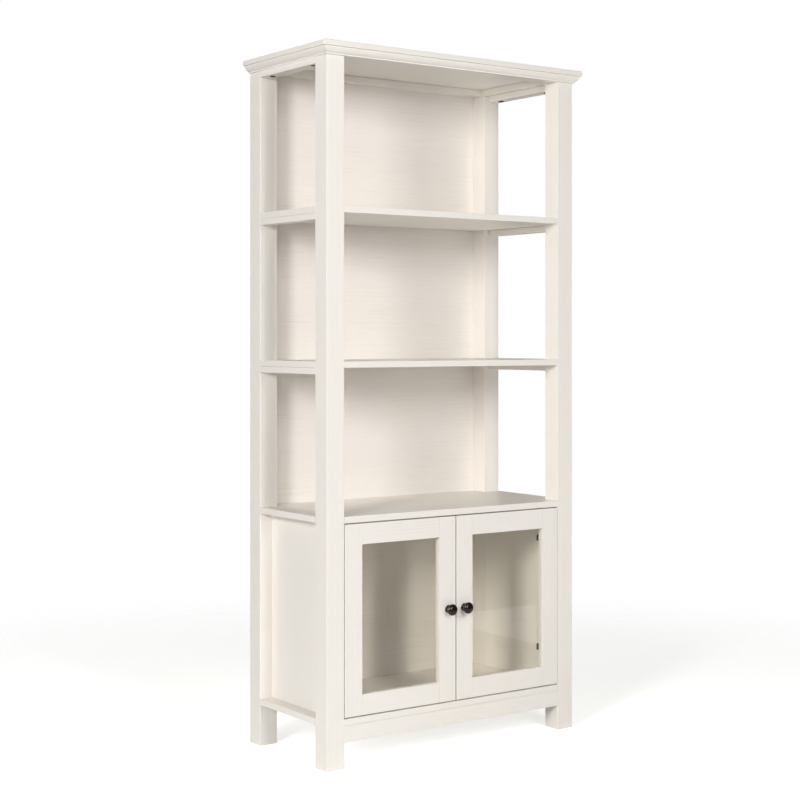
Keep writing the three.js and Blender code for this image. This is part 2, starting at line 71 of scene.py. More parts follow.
CAMERA_AZIMUTH = math.radians(-35.55)  # seen from the front, a little over a third of the way to the left
CAMERA_DISTANCE = 4.352
CAMERA_ASIDE = -0.0446  # across the view, from the object's middle
CAMERA_HEIGHT = 1.0675
CAMERA_LENS = 72.83
CAMERA_SHIFT = -0.077

BACKDROP = (1, 1, 1, 1)
AMBIENT = 0.13
AMBIENT_COLOR = (1, 0.995, 0.985, 1)
FLOOR_COLOR = (0.93, 0.93, 0.915, 1)
FLOOR_GLOW = 0.70  # only where it is seen, so that the floor is near white and still shows a shadow
FLOOR_RADIUS = 9.0
FLOOR_DROP = 0.1 * MM  # keeps it clear of the posts' ends
FLOOR_FADE = (0.9, 2.6)  # from where to where the floor melts into the backdrop


def add_camera():
    """The camera stands level, in front and to the left."""
    camera = bpy.data.cameras.new("camera")
    camera.lens = CAMERA_LENS
    camera.sensor_width = 36
    camera.shift_y = CAMERA_SHIFT
    across = Vector((math.cos(CAMERA_AZIMUTH), math.sin(CAMERA_AZIMUTH), 0))
    back = Vector((math.sin(CAMERA_AZIMUTH), -math.cos(CAMERA_AZIMUTH), 0))
    holder = bpy.data.objects.new("camera", camera)
    holder.location = back * CAMERA_DISTANCE + across * CAMERA_ASIDE + Vector((0, 0, CAMERA_HEIGHT))
    holder.rotation_euler = (math.radians(90), 0, CAMERA_AZIMUTH)
    bpy.context.scene.collection.objects.link(holder)
    bpy.context.scene.camera = holder


def add_softbox(name, place, target, width, height, power, mirrored=True):
    """A rectangular studio light that points at a target. It can be kept out of reflections."""
    light = bpy.data.lights.new(name, "AREA")
    light.shape = "RECTANGLE"
    light.size = width
    light.size_y = height
    light.energy = power
    holder = bpy.data.objects.new(name, light)
    holder.location = place
    holder.rotation_euler = (Vector(target) - Vector(place)).to_track_quat("-Z", "Y").to_euler()
    holder.visible_camera = False
    holder.visible_glossy = mirrored
    bpy.context.scene.collection.objects.link(holder)
    return holder


def add_backdrop():
    """An even white surround, seen directly or through glass. It lights the object only dimly."""
    world = bpy.data.worlds.new("studio")
    world.use_nodes = True
    nodes = world.node_tree.nodes
    links = world.node_tree.links
    shown = nodes["Background"]
    shown.inputs["Color"].default_value = BACKDROP
    lighting = nodes.new("ShaderNodeBackground")
    lighting.inputs["Color"].default_value = AMBIENT_COLOR
    lighting.inputs["Strength"].default_value = AMBIENT
    path = nodes.new("ShaderNodeLightPath")
    seen = nodes.new("ShaderNodeMath")
    seen.operation = "MAXIMUM"
    links.new(path.outputs["Is Camera Ray"], seen.inputs[0])
    links.new(path.outputs["Is Transmission Ray"], seen.inputs[1])
    mix = nodes.new("ShaderNodeMixShader")
    links.new(seen.outputs[0], mix.inputs["Fac"])
    links.new(lighting.outputs["Background"], mix.inputs[1])
    links.new(shown.outputs["Background"], mix.inputs[2])
    links.new(mix.outputs["Shader"], nodes["World Output"].inputs["Surface"])
    bpy.context.scene.world = world


def add_floor():
    """A pale floor that melts into the backdrop some way off."""
    mesh = bpy.data.meshes.new("floor")
    shape = bmesh.new()
    bmesh.ops.create_circle(shape, cap_ends=True, segments=96, radius=FLOOR_RADIUS)
    shape.to_mesh(mesh)
    shape.free()
    floor = bpy.data.objects.new("floor", mesh)
    floor.location.z = -FLOOR_DROP
    bpy.context.scene.collection.objects.link(floor)
    tree = Tree("studio_floor")
    place = tree.add("TexCoord").outputs["Object"]
    distance = tree.add("VectorMath", {0: place}, operation="LENGTH").outputs["Value"]
    fade = tree.ramp(distance, *FLOOR_FADE, smooth=True)
    clear = tree.add("BsdfTransparent")
    mix = tree.add("MixShader", {"Fac": fade, 1: tree.shader.outputs[0], 2: clear.outputs[0]})
    tree.set("Base Color", FLOOR_COLOR)
    tree.set("Roughness", 0.8)
    tree.set("Emission Color", FLOOR_COLOR)
    path = tree.add("LightPath").outputs
    seen = tree.math("MAXIMUM", path["Is Camera Ray"], path["Is Transmission Ray"])
    tree.set("Emission Strength", tree.math("MULTIPLY", seen, FLOOR_GLOW))
    tree.links.new(mix.outputs[0], tree.output.inputs["Surface"])
    mesh.materials.append(tree.material)
    return floor


def light_studio():
    """Two lamps in front, a small and a wide one on the left, and a card on the floor at the right."""
    target = (0, 0, 0.9)
    add_softbox("front_high", (-0.4, -4.3, 2.5), target, 0.6, 1.2, 50)
    add_softbox("front", (-0.75, -4.6, 1.5), target, 0.5, 1.6, 40)
    add_softbox("left", (-3.7, -2.15, 1.9), target, 0.8, 1.2, 100)
    add_softbox("left_fill", (-4.2, -1.2, 1.6), target, 2.2, 2.4, 38)
    add_softbox("right_bounce", (1.7, -0.5, 0.06), (1.7, -0.5, 1), 1.6, 2.0, 15, mirrored=False)
    add_backdrop()


def light_back(floor):
    """A lamp behind, for the back and the top. It leaves out the floor, so none of it gets to the front."""
    lamp = add_softbox("behind", (0.4, 3.2, 3.8), (0, 0, 1.1), 2.0, 2.0, 150)
    left_out = bpy.data.collections.new("not_lit_from_behind")
    left_out.objects.link(floor)
    left_out.collection_objects[0].light_linking.link_state = "EXCLUDE"
    lamp.light_linking.receiver_collection = left_out


# ---------------------------------------------------------------- materials


class Tree:
    """A node material under construction. An input takes a plain value or another node's output."""

    def __init__(self, name):
        self.material = bpy.data.materials.new(name)
        self.material.use_nodes = True
        self.nodes = self.material.node_tree.nodes
        self.links = self.material.node_tree.links
        self.shader = self.nodes["Principled BSDF"]
        self.output = self.nodes["Material Output"]

    def fill(self, socket, value):
        if isinstance(value, bpy.types.NodeSocket):
            self.links.new(value, socket)
        else:
            socket.default_value = value

    def set(self, name, value):
        """Sets or links one of the shader's own sockets."""
        self.fill(self.shader.inputs[name], value)

    def add(self, kind, inputs=None, **settings):
        node = self.nodes.new("ShaderNode" + kind)
        for key, value in settings.items():
            setattr(node, key, value)
        for key, value in (inputs or {}).items():
            self.fill(node.inputs[key], value)
        return node

    def math(self, operation, first, second=0.0):
        return self.add("Math", {0: first, 1: second}, operation=operation).outputs[0]

    def ramp(self, value, low, high, smooth=False):
        """0 up to low, 1 from high on."""
        kind = "SMOOTHSTEP" if smooth else "LINEAR"
        inputs = {"Value": value, "From Min": low, "From Max": high}
        return self.add("MapRange", inputs, interpolation_type=kind).outputs["Result"]

    def blend(self, share, first, second):
        """One colour fading to another."""
        # A colour mix has its own A, B and Result, after those for numbers and vectors.
        return self.add("Mix", {0: share, 6: first, 7: second}, data_type="RGBA").outputs[2]

    def noise(self, place, scale, detail=2.0, roughness=0.5, distortion=0.0):
        inputs = {
            "Vector": place,
            "Scale": scale,
            "Detail": detail,
            "Roughness": roughness,
            "Distortion": distortion,
        }
        return self.add("TexNoise", inputs).outputs["Fac"]

    def place(self, stretch_along=None, stretch=1.0):
        """The surface's own coordinates in metres, moved by a random amount for each piece.

        With stretch_along, one axis is drawn out, so that a pattern gets longer along it."""
        own = self.add("TexCoord").outputs["Object"]
        seed = self.add("ObjectInfo").outputs["Random"]
        offset = self.add("VectorMath", {0: (3.1, 5.3, 4.7), "Scale": seed}, operation="SCALE")
        moved = self.add("VectorMath", {0: own, 1: offset.outputs[0]}, operation="ADD").outputs[0]
        if stretch_along is None:
            return moved
        scale = [1.0, 1.0, 1.0]
        scale[ALONG[stretch_along]] = 1 / stretch
        return self.add("VectorMath", {0: moved, 1: scale}, operation="MULTIPLY").outputs[0]

    def bump(self, height, distance, strength=1.0, base=None):
        inputs = {"Height": height, "Distance": distance, "Strength": strength}
        if base is not None:
            inputs["Normal"] = base
        return self.add("Bump", inputs).outputs["Normal"]


PAINT = (0.880, 0.832, 0.770, 1)
PAINT_IN_GRAIN = (0.80, 0.755, 0.68, 1)
PAINT_COOL = (0.872, 0.838, 0.785, 1)
EDGE_PAINT = (0.872, 0.828, 0.768, 1)
EDGE_RUBBED = (0.80, 0.74, 0.64, 1)
FOIL = (0.87, 0.818, 0.765, 1)
FOIL_COOL = (0.855, 0.808, 0.762, 1)
FOIL_IN_GRAIN = (0.74, 0.68, 0.59, 1)
GLASS_TINT = (0.978, 0.97, 0.935, 1)
BRONZE = (0.026, 0.021, 0.019, 1)
BRONZE_RUBBED = (0.118, 0.082, 0.064, 1)
ZINC = (0.62, 0.61, 0.58, 1)
ZINC_DULL = (0.48, 0.48, 0.47, 1)
BLACK_NICKEL = (0.10, 0.095, 0.09, 1)
BLACK_NICKEL_DULL = (0.06, 0.058, 0.056, 1)
PLASTIC = (0.83, 0.815, 0.77, 1)
PLASTIC_IN_SPARK = (0.76, 0.74, 0.69, 1)


def wood_grain(tree, axis, ring_scale, pore_scale):
    """Three masks of an embossed grain along one axis: its broad figure, its lines and its pores."""
    figure = tree.noise(tree.place(axis, 9), 22, detail=3, roughness=0.55)
    rings = tree.add("TexWave", {
        "Vector": tree.place(axis, 14),
        "Scale": ring_scale,
        "Distortion": 5.5,
        "Detail": 3.0,
        "Detail Scale": 0.35,
        "Detail Roughness": 0.6,
    }, wave_type="RINGS", rings_direction=axis).outputs["Fac"]
    pores = tree.noise(tree.place(axis, 34), pore_scale, detail=2.5, roughness=0.6)
    return figure, tree.ramp(rings, 0.25, 0.95, smooth=True), tree.ramp(pores, 0.54, 0.70)


def painted_wood(axis):
    """Satin off-white paint film over a wood grain that runs along one axis."""
    tree = Tree(f"painted_wood_{axis.lower()}")
    figure, rings, pores = wood_grain(tree, axis, 46, 620)
    patches = tree.noise(tree.place(), 6, detail=2)
    tint = tree.blend(tree.ramp(patches, 0.35, 0.65, smooth=True), PAINT, PAINT_COOL)
    lines = tree.math("MULTIPLY", tree.ramp(figure, 0.3, 0.75), rings)
    dark = tree.math("ADD", tree.math("MULTIPLY", lines, 0.22), tree.math("MULTIPLY", pores, 0.36))
    tree.set("Base Color", tree.blend(dark, tint, PAINT_IN_GRAIN))
    peel = tree.noise(tree.place(), 1500, detail=1)
    gloss = tree.math("ADD", tree.math("MULTIPLY", pores, 0.16), tree.math("MULTIPLY", peel, 0.10))
    tree.set("Roughness", tree.math("ADD", gloss, 0.36))
    relief = tree.math("ADD", tree.math("MULTIPLY", pores, -0.8), tree.math("MULTIPLY", lines, -0.5))
    grain = tree.bump(relief, 0.16 * MM, 0.7)
    tree.set("Normal", tree.bump(peel, 0.03 * MM, 0.5, base=grain))
    tree.set("Specular IOR Level", 0.42)
    return tree.material


def painted_edge(axis):
    """The same paint on an eased edge, duller, and rubbed thin here and there by hands and cloths."""
    tree = Tree(f"painted_edge_{axis.lower()}")
    rub = tree.noise(tree.place(axis, 5), 55, detail=4, roughness=0.65)
    fine = tree.noise(tree.place(axis, 8), 700, detail=2)
    worn = tree.math("MULTIPLY", tree.ramp(rub, 0.56, 0.74, smooth=True), tree.ramp(fine, 0.4, 0.6))
    tree.set("Base Color", tree.blend(tree.math("MULTIPLY", worn, 0.55), EDGE_PAINT, EDGE_RUBBED))
    tree.set("Roughness", tree.math("SUBTRACT", 0.55, tree.math("MULTIPLY", worn, 0.15)))
    tree.set("Normal", tree.bump(fine, 0.04 * MM, 0.5))
    tree.set("Specular IOR Level", 0.28)
    return tree.material


def backing_foil():
    """Matt paper foil with short fine streaks across its width."""
    tree = Tree("backing_foil")
    figure, rings, pores = wood_grain(tree, "X", 34, 420)
    streaks = tree.ramp(tree.noise(tree.place("X", 22), 150, detail=3, roughness=0.6), 0.50, 0.68)
    patches = tree.noise(tree.place("X", 2), 5, detail=2)
    clusters = tree.ramp(tree.noise(tree.place("X", 3), 14, detail=2), 0.46, 0.66, smooth=True)
    streaks = tree.math("MULTIPLY", streaks, tree.math("ADD", tree.math("MULTIPLY", clusters, 0.7), 0.3))
    lines = tree.math("MULTIPLY", rings, tree.ramp(figure, 0.3, 0.7))
    dark = tree.math("ADD", tree.math("MULTIPLY", streaks, 0.30), tree.math("MULTIPLY", lines, 0.10))
    dark = tree.math("ADD", dark, tree.math("MULTIPLY", pores, 0.22))
    tint = tree.blend(tree.ramp(patches, 0.3, 0.7, smooth=True), FOIL, FOIL_COOL)
    tree.set("Base Color", tree.blend(dark, tint, FOIL_IN_GRAIN))
    tree.set("Roughness", tree.math("ADD", tree.math("MULTIPLY", pores, 0.12), 0.56))
    relief = tree.math("ADD", tree.math("MULTIPLY", pores, -0.7), tree.math("MULTIPLY", streaks, -0.4))
    tree.set("Normal", tree.bump(relief, 0.12 * MM, 0.7))
    tree.set("Specular IOR Level", 0.3)
    return tree.material


def float_glass():
    """Clear glass with a faint warm cast, wiped but not spotless.

    Light from the lamps and off the walls passes straight through, so that it reaches the cabinet."""
    tree = Tree("float_glass")
    smears = tree.noise(tree.place("Z", 3), 9, detail=5, roughness=0.7, distortion=0.8)
    tree.set("Base Color", GLASS_TINT)
    tree.set("Roughness", tree.math("MULTIPLY", tree.ramp(smears, 0.55, 0.95), 0.008))
    tree.set("IOR", 1.5)
    tree.set("Transmission Weight", 1.0)
    clear = tree.add("BsdfTransparent", {"Color": GLASS_TINT}).outputs[0]
    ray = tree.add("LightPath")
    seen = tree.shader.outputs[0]
    for kind in ("Is Shadow Ray", "Is Diffuse Ray"):
        seen = tree.add("MixShader", {"Fac": ray.outputs[kind], 1: seen, 2: clear}).outputs[0]
    tree.links.new(seen, tree.output.inputs["Surface"])
    return tree.material


def rubbed_bronze():
    """Near-black bronze under a thin lacquer, with a warmer metal showing where fingers rub it."""
    tree = Tree("rubbed_bronze")
    mottle = tree.noise(tree.place(), 320, detail=4, roughness=0.6)
    patina = tree.noise(tree.place(), 90, detail=3)
    rubbed = tree.math("MULTIPLY", tree.ramp(patina, 0.5, 0.72, smooth=True), mottle)
    tree.set("Base Color", tree.blend(rubbed, BRONZE, BRONZE_RUBBED))
    tree.set("Metallic", 0.85)
    tree.set("Roughness", tree.math("ADD", tree.math("MULTIPLY", mottle, 0.16), 0.18))
    tree.set("Coat Weight", 0.5)
    tree.set("Coat Roughness", 0.12)
    tree.set("Normal", tree.bump(mottle, 0.05 * MM, 0.5))
    return tree.material


def plated_steel(name, bright, dull, roughness):
    """Plated steel with a rolled grain, clouded where the plating has dulled."""
    tree = Tree(name)
    cloud = tree.noise(tree.place(), 140, detail=4, roughness=0.6)
    rolled = tree.noise(tree.place("Z", 20), 1400, detail=2)
    tree.set("Base Color", tree.blend(tree.ramp(cloud, 0.3, 0.7), bright, dull))
    tree.set("Metallic", 1.0)
    tree.set("Roughness", tree.math("ADD", tree.math("MULTIPLY", cloud, 0.20), roughness))
    tree.set("Normal", tree.bump(rolled, 0.03 * MM, 0.5))
    return tree.material


def moulded_plastic():
    """Off-white moulded plastic with a fine spark texture."""
    tree = Tree("moulded_plastic")
    spark = tree.noise(tree.place(), 1800, detail=2)
    tree.set("Base Color", tree.blend(spark, PLASTIC, PLASTIC_IN_SPARK))
    tree.set("Roughness", tree.math("ADD", tree.math("MULTIPLY", spark, 0.15), 0.38))
    tree.set("Normal", tree.bump(spark, 0.05 * MM, 0.6))
    return tree.material


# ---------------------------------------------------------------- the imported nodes' finish

GRAIN_ALONG = {
    "X": (
        "top_board", "crown_front", "crown_back", "upper_shelf", "middle_shelf", "counter_board",
        "cabinet_floor", "kick_rail", "door_*_top_rail", "door_*_bottom_rail",
    ),
    "Y": ("crown_left", "crown_right", "top_rail_left", "top_rail_right", "*_shelf_rail_*"),
    "Z": ("post_*", "side_panel_*", "door_*_stile", "door_*_glass_bead"),
}
EASED_EDGE = 0.9 * MM
EASED_TOP = 1.6 * MM  # the top board, which is handled most
EASED_DOOR_EDGE = 0.45 * MM
ARRIS = 0.25 * MM  # on glass, thin sheet and small metal
SHARP = math.radians(34)
FLAT = math.radians(0.5)
WELD_REACH = 0.01 * MM


def ease_edges(node, width, segments=3, edge_material=0):
    """Rounds a CAD node's sharp edges with modifiers. The strips can take another material."""
    weld = node.modifiers.new("weld", "WELD")
    weld.merge_threshold = WELD_REACH
    flat = node.modifiers.new("flat", "DECIMATE")
    flat.decimate_type = "DISSOLVE"
    flat.angle_limit = FLAT
    ease = node.modifiers.new("ease", "BEVEL")
    ease.width = width
    ease.segments = segments
    ease.limit_method = "ANGLE"
    ease.angle_limit = SHARP
    ease.material = edge_material


def finish_node(node, *materials):
    node.data.materials.clear()
    for material in materials:
        node.data.materials.append(material)


def eased_width(name):
    """How far a wooden node's edges are rounded."""
    if name == "top_board":
        return EASED_TOP
    return EASED_DOOR_EDGE if name.startswith("door_") else EASED_EDGE


def finish_wood():
    for axis, patterns in GRAIN_ALONG.items():
        face = painted_wood(axis)
        edge = painted_edge(axis)
        for name, node in frame["nodes"].items():
            if not any(fnmatch(name, pattern) for pattern in patterns):
                continue
            finish_node(node, face, edge)
            ease_edges(node, eased_width(name), edge_material=1)


def finish_others(finishes):
    patterns = {
        "back_panel_*": "backing",
        "door_*_glass": "glass",
        "door_*_knob_screw": "zinc",
        "top_rail_bolt_*": "dark_steel",
        "catch_strike_*": "zinc",
        "hinge_*": "dark_steel",
        "magnetic_catch": "plastic",
    }
    for name, node in frame["nodes"].items():
        for pattern, finish in patterns.items():
            if fnmatch(name, pattern):
                finish_node(node, finishes[finish])
                ease_edges(node, ARRIS, segments=2)


# ---------------------------------------------------------------- small pieces


def midway(low, high):
    return (low + high) / 2


def new_piece(name, shape, finish, body=None, smooth=False):
    """Makes a named piece from a bmesh, with its material, and lets it ride on a body."""
    bmesh.ops.recalc_face_normals(shape, faces=shape.faces)
    mesh = bpy.data.meshes.new(name)
    for face in shape.faces:
        face.smooth = smooth
    shape.to_mesh(mesh)
    shape.free()
    mesh.materials.append(finish)
    piece = bpy.data.objects.new(name, mesh)
    bpy.context.scene.collection.objects.link(piece)
    if body is not None:
        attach(piece, body)
    return piece


POINT_RADIUS = 1e-9  # a ring smaller than this is one corner


def add_ring(shape, turn, radius, height, segments):
    """Adds a circle of corners round a matrix's Z."""
    if radius < POINT_RADIUS:
        return [shape.verts.new(turn @ Vector((0, 0, height)))]
    return [
        shape.verts.new(turn @ Vector((radius * math.cos(a), radius * math.sin(a), height)))
        for a in (2 * math.pi * i / segments for i in range(segments))
    ]


def lathe(shape, profile, segments, turn):
    """Adds a profile of (radius, height) points spun round Z, then placed by a matrix."""
    rings = [add_ring(shape, turn, radius, height, segments) for radius, height in profile]
    for lower, upper in zip(rings, rings[1:]):
        for i in range(segments):
            j = i + 1
            low_pair = [lower[i % len(lower)], lower[j % len(lower)]]
            high_pair = [upper[j % len(upper)], upper[i % len(upper)]]
            unique = list(dict.fromkeys(low_pair + high_pair))
            if len(unique) > 2:
                shape.faces.new(unique)


def curve(points, steps=8):
    """Points along a chain of Bezier arcs, given as start, handle, handle, end, handle, handle, end."""
    line = []
    for i in range(0, len(points) - 1, 3):
        arc = [Vector((*p, 0)) for p in points[i:i + 4]]
        drawn = interpolate_bezier(*arc, steps + 1)
        line += drawn if not line else drawn[1:]
    return [(p.x, p.y) for p in line]


KNOB_SEGMENTS = 72
KNOB_ROSE = 0.68  # these two are shares of the head's radius
KNOB_NECK = 0.385


def add_knob(side, finishes):
    """A turned knob: a flared rose, a waisted neck and a domed head with a fine ring round it."""
    node = f"door_{side}_knob"
    low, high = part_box(node)
    radius = (high.x - low.x) / 2
    reach = high.y - low.y
    rose, neck = KNOB_ROSE * radius, KNOB_NECK * radius
    foot = rose * 0.94
    rose_edge = [
        (foot, 0.0), (rose * 1.04, 0.01 * reach), (rose * 1.04, 0.05 * reach), (rose * 0.97, 0.065 * reach),
    ]
    into_neck = [(rose * 0.75, 0.10 * reach), (neck, 0.14 * reach), (neck, 0.27 * reach)]
    shoulder = [(neck, 0.38 * reach), (neck * 1.25, 0.44 * reach), (radius * 0.62, 0.465 * reach)]
    head = [(radius * 0.86, 0.49 * reach), (radius * 0.97, 0.55 * reach), (radius, 0.65 * reach)]
    ring_groove = [
        (radius, 0.655 * reach), (radius * 0.97, 0.66 * reach),
        (radius * 0.97, 0.67 * reach), (radius, 0.68 * reach),
    ]
    dome = [(radius * 0.98, 0.86 * reach), (radius * 0.62, reach), (0.0, reach)]
    profile = [(0.0, 0.0)] + curve(rose_edge + into_neck + shoulder + head) + curve(ring_groove + dome)
    turn = Matrix.Translation((midway(low.x, high.x), high.y, midway(low.z, high.z)))
    turn = turn @ Matrix.Rotation(math.radians(90), 4, "X")
    shape = bmesh.new()
    lathe(shape, profile, KNOB_SEGMENTS, turn)
    finish, body = finishes["bronze"], f"door_{side}"
    piece = new_piece(f"{node}_turned", shape, finish, body, smooth=True)
    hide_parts(node)


SCREW_SEGMENTS = 16
SCREW_TOP = 0.72  # its radius, as a share of the head's
SCREW_SHOULDER = (0.9, 0.72)  # shares of the head's radius and height
CROSS_ARM = 0.55  # this and the next are shares of the head's radius
CROSS_HALF_WIDTH = 0.14
CROSS_TAPER = 0.6
CROSS_FLOOR = 0.25  # share of the head's height


def add_screw(shape, turn, radius, height):
    """Adds a domed screw head with a cross recess. It stands on the matrix's origin, along its Z."""
    top = add_ring(shape, turn, SCREW_TOP * radius, height, SCREW_SEGMENTS)
    arm, half = CROSS_ARM * radius, CROSS_HALF_WIDTH * radius
    cross = [
        (arm, -half), (arm, half), (half, half), (half, arm), (-half, arm), (-half, half),
        (-arm, half), (-arm, -half), (-half, -half), (-half, -arm), (half, -arm), (half, -half),
    ]
    mouth = [shape.verts.new(turn @ Vector((x, y, height))) for x, y in cross]
    deep = [
        shape.verts.new(turn @ Vector((CROSS_TAPER * x, CROSS_TAPER * y, CROSS_FLOOR * height)))
        for x, y in cross
    ]
    edges = [shape.edges.new((ring[i - 1], ring[i])) for ring in (top, mouth) for i in range(len(ring))]
    bmesh.ops.triangle_fill(shape, edges=edges, use_beauty=True)
    for i in range(len(cross)):
        shape.faces.new((mouth[i - 1], mouth[i], deep[i], deep[i - 1]))
    shape.faces.new(deep)
    rings = [top]
    for wide, high in (SCREW_SHOULDER, (1.0, 0.0)):
        rings.append(add_ring(shape, turn, wide * radius, high * height, SCREW_SEGMENTS))
    for upper, lower in zip(rings, rings[1:]):
        for i in range(SCREW_SEGMENTS):
            shape.faces.new((upper[i - 1], upper[i], lower[i], lower[i - 1]))
    shape.faces.new(rings[-1])


def facing(x, y, z, direction):
    """A matrix at a point whose Z looks along a direction."""
    return Matrix.Translation((x, y, z)) @ Vector(direction).to_track_quat("Z", "Y").to_matrix().to_4x4()


def add_block(shape, low, high, ease):
    """Adds a box between two corners, its edges rounded."""
    size = Vector(high) - Vector(low)
    place = Matrix.Translation((Vector(low) + Vector(high)) / 2) @ Matrix.Diagonal((*size, 1))
    made = bmesh.ops.create_cube(shape, size=1, matrix=place)
    edges = {edge for corner in made["verts"] for edge in corner.link_edges}
    bmesh.ops.bevel(shape, geom=list(edges), offset=ease, segments=2, profile=0.5, affect="EDGES")


# ---------------------------------------------------------------- nails, pins and caps

BOARDS_BEHIND_BACK = ("cabinet_floor", "counter_board", "middle_shelf", "upper_shelf", "crown_back")
NAIL_RADIUS = 1.9 * MM
NAIL_HEIGHT = 0.28 * MM
NAIL_SPACING = 95 * MM
NAIL_INSET = 10 * MM  # from the panel's side edges
NAIL_NEAREST_SEAM = 4 * MM

PIN_RADIUS = 0.9 * MM
PIN_HEIGHT = 0.25 * MM
PIN_SPACING = 85 * MM
PIN_INSET = 4 * MM  # from the bead's outer edges
PIN_FROM_CORNER = 4 * PIN_INSET

CAM_CAP_RADIUS = 8.2 * MM
CAM_CAP_HEIGHT = 0.8 * MM
CAM_CAP_FROM_END = 34 * MM
CAM_CAP_SEGMENTS = 40

BOLT_CAP_RADIUS = 7.7 * MM
BOLT_CAP_HEIGHT = 2.4 * MM
BOLT_CAP_SEGMENTS = 32


def spread(low, high, spacing):
    """Evenly spaced places from low to high, both ends among them."""
    count = max(1, round((high - low) / spacing))
    return [low + (high - low) * i / count for i in range(count + 1)]


def add_head(shape, turn, radius, height, segments=20):
    """A nail's low domed head."""
    profile = [(0, 0), (radius, 0), (radius, 0.35 * height), (0.86 * radius, 0.75 * height)]
    profile += [(0.5 * radius, 0.96 * height), (0, height)]
    lathe(shape, profile, segments, turn)


def add_back_nails(finishes):
    """Nails along the back panels' side edges and along every board behind them."""
    shape = bmesh.new()
    for panel in ("back_panel_lower", "back_panel_upper"):
        low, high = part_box(panel)
        left, right = low.x + NAIL_INSET, high.x - NAIL_INSET
        rows = []
        for board in BOARDS_BEHIND_BACK:
            board_low, board_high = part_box(board)
            height = midway(board_low.z, board_high.z)
            nearest = min(max(height, low.z + NAIL_NEAREST_SEAM), high.z - NAIL_NEAREST_SEAM)
            if board_low.z < nearest < board_high.z:
                rows.append(nearest)
        places = [(x, z) for z in rows for x in spread(left, right, NAIL_SPACING)]
        places += [(x, z) for x in (left, right) for z in spread(rows[0], rows[-1], NAIL_SPACING)[1:-1]]
        for x, z in places:
            add_head(shape, facing(x, high.y, z, (0, 1, 0)), NAIL_RADIUS, NAIL_HEIGHT)
    new_piece("back_panel_nails", shape, finishes["zinc"], "carcass", smooth=True)


def add_bead_pins(side, finishes):
    """Headed pins that hold the glazing bead."""
    low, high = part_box(f"door_{side}_glass_bead")
    left, right = low.x + PIN_INSET, high.x - PIN_INSET
    bottom, top = low.z + PIN_INSET, high.z - PIN_INSET
    across = spread(left + PIN_FROM_CORNER, right - PIN_FROM_CORNER, PIN_SPACING)
    upright = spread(bottom + PIN_FROM_CORNER, top - PIN_FROM_CORNER, PIN_SPACING)
    places = [(x, z) for z in (bottom, top) for x in across]
    places += [(x, z) for x in (left, right) for z in upright]
    shape = bmesh.new()
    for x, z in places:
        add_head(shape, facing(x, high.y, z, (0, 1, 0)), PIN_RADIUS, PIN_HEIGHT, segments=12)
    body = f"door_{side}"
    new_piece(f"{body}_bead_pins", shape, finishes["zinc"], body, smooth=True)


def add_cam_caps(finishes):
    """Plastic caps over the cam fasteners, under the side rails, the counter and the cabinet's floor."""
    places = []
    for side, sign in SIDES.items():
        panel_low, panel_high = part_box(f"side_panel_{side}")
        inner = panel_high.x if sign < 0 else panel_low.x
        for shelf in ("middle_shelf", "upper_shelf"):
            low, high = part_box(f"{shelf}_rail_{side}")
            for y in (low.y + CAM_CAP_FROM_END, high.y - CAM_CAP_FROM_END):
                places.append((midway(low.x, high.x), y, low.z))
        for board in ("cabinet_floor", "counter_board"):
            low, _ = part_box(board)
            for y in (panel_low.y + CAM_CAP_FROM_END, panel_high.y - CAM_CAP_FROM_END):
                places.append((inner - sign * CAM_CAP_FROM_END, y, low.z))
    shape = bmesh.new()
    rim, height = CAM_CAP_RADIUS, CAM_CAP_HEIGHT
    # A flat disc with a rounded rim and a small dimple in the middle.
    profile = [(0, 0), (rim, 0), (rim, 0.5 * height), (0.97 * rim, 0.85 * height), (0.9 * rim, height)]
    profile += [(0.16 * rim, height), (0.12 * rim, 0.6 * height), (0, 0.55 * height)]
    for x, y, z in places:
        lathe(shape, profile, CAM_CAP_SEGMENTS, facing(x, y, z, (0, 0, -1)))
    new_piece("cam_caps", shape, finishes["plastic"], "carcass", smooth=True)


def add_bolt_caps(finishes):
    """Dark domed caps over the bolts under the top rails."""
    rim, height = BOLT_CAP_RADIUS, BOLT_CAP_HEIGHT
    profile = [(0, 0), (rim, 0), (rim, 0.45 * height), (0.96 * rim, 0.68 * height)]
    profile += [(0.84 * rim, 0.86 * height), (0.55 * rim, 0.97 * height), (0, height)]
    shape = bmesh.new()
    for side in SIDES:
        rail_low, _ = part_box(f"top_rail_{side}")
        for end in ("front", "rear"):
            low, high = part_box(f"top_rail_bolt_{side}_{end}")
            centre = (midway(low.x, high.x), midway(low.y, high.y), rail_low.z)
            lathe(shape, profile, BOLT_CAP_SEGMENTS, facing(*centre, (0, 0, -1)))
    new_piece("top_rail_bolt_caps", shape, finishes["bronze"], "carcass", smooth=True)


POLE_LENGTH = 15 * MM
POLE_THICKNESS = 1.3 * MM
POLE_PROUD = 0.35 * MM
POLE_APART = 2.8 * MM
POLE_EDGE = 0.2 * MM
CATCH_FACE_BOTTOM = 2 * MM  # the catch's front face starts this far over its underside


def add_catch_poles(finishes):
    """The steel pole pieces that show in the magnetic catch's face, a pair for each door."""
    low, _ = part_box("magnetic_catch")
    shape = bmesh.new()
    for side in SIDES:
        strike_low, strike_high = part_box(f"catch_strike_{side}")
        x = midway(strike_low.x, strike_high.x)
        height = midway(low.z + CATCH_FACE_BOTTOM, strike_high.z)
        for up in (-0.5, 0.5):
            z = height + up * POLE_APART
            add_block(
                shape,
                (x - POLE_LENGTH / 2, low.y - POLE_PROUD, z - POLE_THICKNESS / 2),
                (x + POLE_LENGTH / 2, low.y + POLE_THICKNESS, z + POLE_THICKNESS / 2),
                POLE_EDGE,
            )
    new_piece("catch_poles", shape, finishes["zinc"], "carcass")


# ---------------------------------------------------------------- hinges

